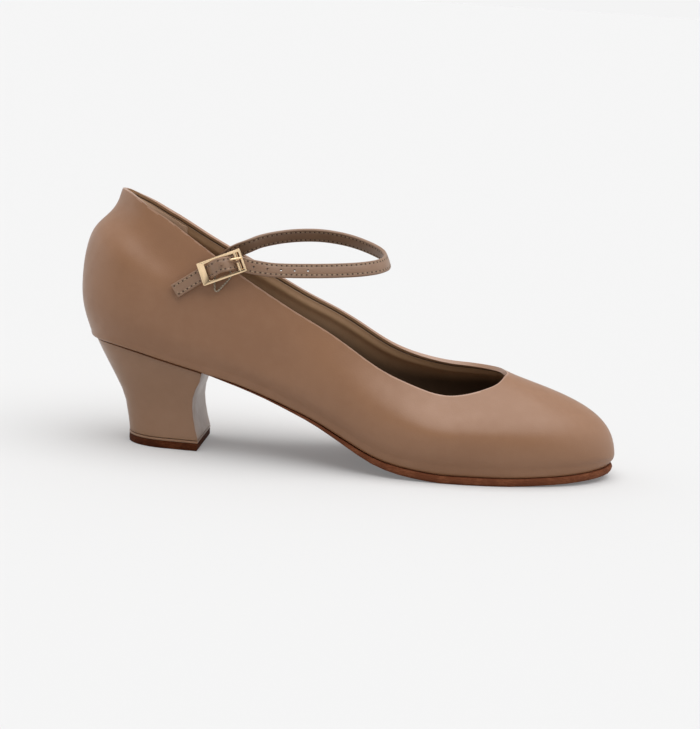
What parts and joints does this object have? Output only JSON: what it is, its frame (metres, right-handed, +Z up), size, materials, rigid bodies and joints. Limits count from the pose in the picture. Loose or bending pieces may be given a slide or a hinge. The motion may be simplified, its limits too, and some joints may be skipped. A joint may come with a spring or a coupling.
{
  "type": "character shoe",
  "caption": "Right character shoe for stage dance: hollow leather pump upper, thin leather sole, covered block heel, ankle strap with a small metal buckle.",
  "frame": {"origin": "centre of the top lift's ground face, on the floor", "axes": "+X from heel to toe, +Y towards the inner (medial) side of the foot, +Z up from the floor"},
  "size_m": [0.2467, 0.0817, 0.1155],
  "materials": {
    "upper_leather": "smooth tan leather with a satin sheen",
    "lining_leather": "dull brown lining leather",
    "sole_leather": "stained sole leather with a rough cut edge",
    "heel_cover": "smooth tan cover leather, slightly glossier than the upper",
    "lift_leather": "brown compressed lift leather",
    "strap_leather": "smooth tan strap leather with edge stitching",
    "buckle_metal": "polished pale gold plating",
    "elastic_tape": "dark narrow elastic tape"
  },
  "bodies": {
    "root": {"upper": "upper_leather", "insole": "lining_leather", "outsole": "sole_leather", "heel_block": "heel_cover", "top_lift": "lift_leather", "ankle_strap": "strap_leather", "buckle_frame": "buckle_metal", "buckle_prong": "buckle_metal", "buckle_elastic": "elastic_tape"}
  },
  "joints": []
}
